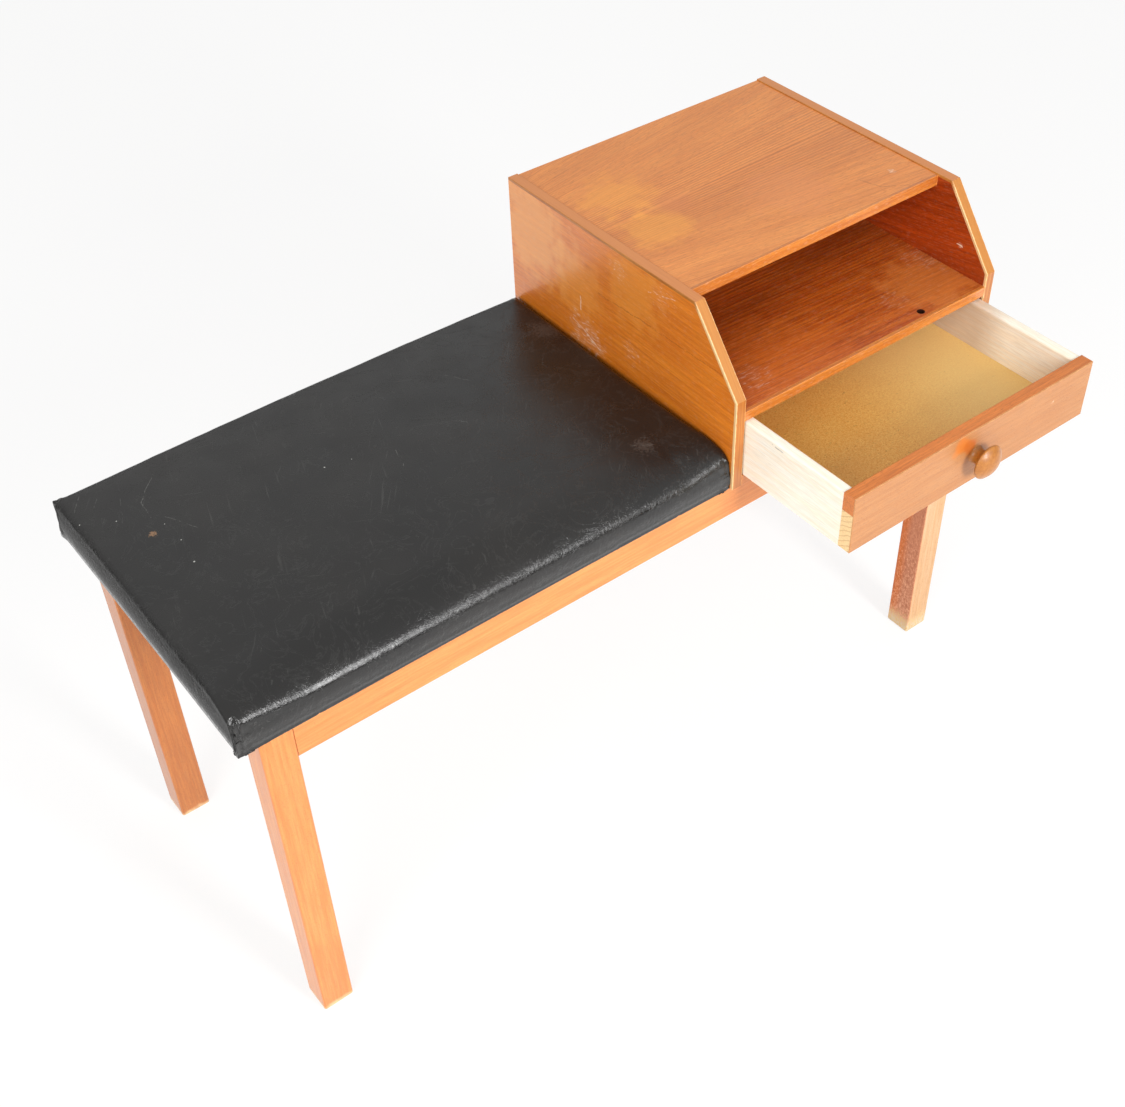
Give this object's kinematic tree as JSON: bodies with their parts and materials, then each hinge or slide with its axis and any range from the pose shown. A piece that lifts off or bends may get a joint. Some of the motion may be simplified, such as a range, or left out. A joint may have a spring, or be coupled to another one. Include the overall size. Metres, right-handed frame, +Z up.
{
  "type": "telephone bench",
  "caption": "Long low bench with a padded black seat on square legs and a small teak cabinet at one end, its open shelf over a sliding drawer with a turned knob.",
  "frame": {"origin": "On the floor, below the middle of the bench's box with its drawer drawn 145 mm open.", "axes": "+Z up. -Y is the front, where the drawer opens. +X runs along the bench from the seat towards the cabinet."},
  "size_m": [0.896, 0.527, 0.603],
  "materials": {
    "stained_beech": "golden orange stain under satin lacquer, worn at the feet",
    "plain_beech": "bare beech",
    "teak_veneer": "oiled teak veneer",
    "solid_teak": "oiled solid teak",
    "softwood_core": "bare softwood core",
    "birch": "lacquered pale birch",
    "hardboard": "smooth tan hardboard",
    "seat_board": "bare particle board",
    "leathercloth": "black grained leathercloth, satin, lightly worn",
    "foam": "open-cell foam",
    "steel": "bright zinc-plated steel"
  },
  "bodies": {
    "bench": {"leg_front_left": "stained_beech", "leg_front_right": "stained_beech", "leg_back_left": "stained_beech", "leg_back_right": "stained_beech", "end_rail_left": "stained_beech", "end_rail_right": "stained_beech", "front_rail": "stained_beech", "back_rail": "stained_beech", "cross_rail": "plain_beech", "rail_dowels": "plain_beech", "corner_blocks": "plain_beech", "middle_blocks": "plain_beech", "seat_screws": "steel", "seat_board": "seat_board", "seat_foam": "foam", "seat_cover": "leathercloth", "cover_staples": "steel", "cabinet_screws": "steel", "side_panel_left": "teak_veneer", "side_panel_right": "teak_veneer", "side_band_left": "solid_teak", "side_band_right": "solid_teak", "top_panel": "teak_veneer", "top_panel_lipping": "solid_teak", "middle_shelf": "teak_veneer", "middle_shelf_lipping": "solid_teak", "bottom_board": "teak_veneer", "bottom_board_lipping": "solid_teak", "cabinet_dowels": "plain_beech", "back_panel": "teak_veneer", "back_panel_pins": "steel"},
    "drawer": {"drawer_front": "softwood_core", "drawer_front_lipping": "solid_teak", "drawer_front_facing": "teak_veneer", "drawer_side_left": "birch", "drawer_side_right": "birch", "drawer_back": "birch", "drawer_bottom": "hardboard", "drawer_dowels": "plain_beech", "drawer_back_nails": "steel", "drawer_bottom_nails": "steel", "drawer_knob": "solid_teak", "knob_screw": "steel"}
  },
  "joints": [
    {"name": "drawer_slide", "type": "slide", "parent": "bench", "child": "drawer", "axis": [0, -1, 0], "range_m": [-0.145, 0.105]}
  ]
}
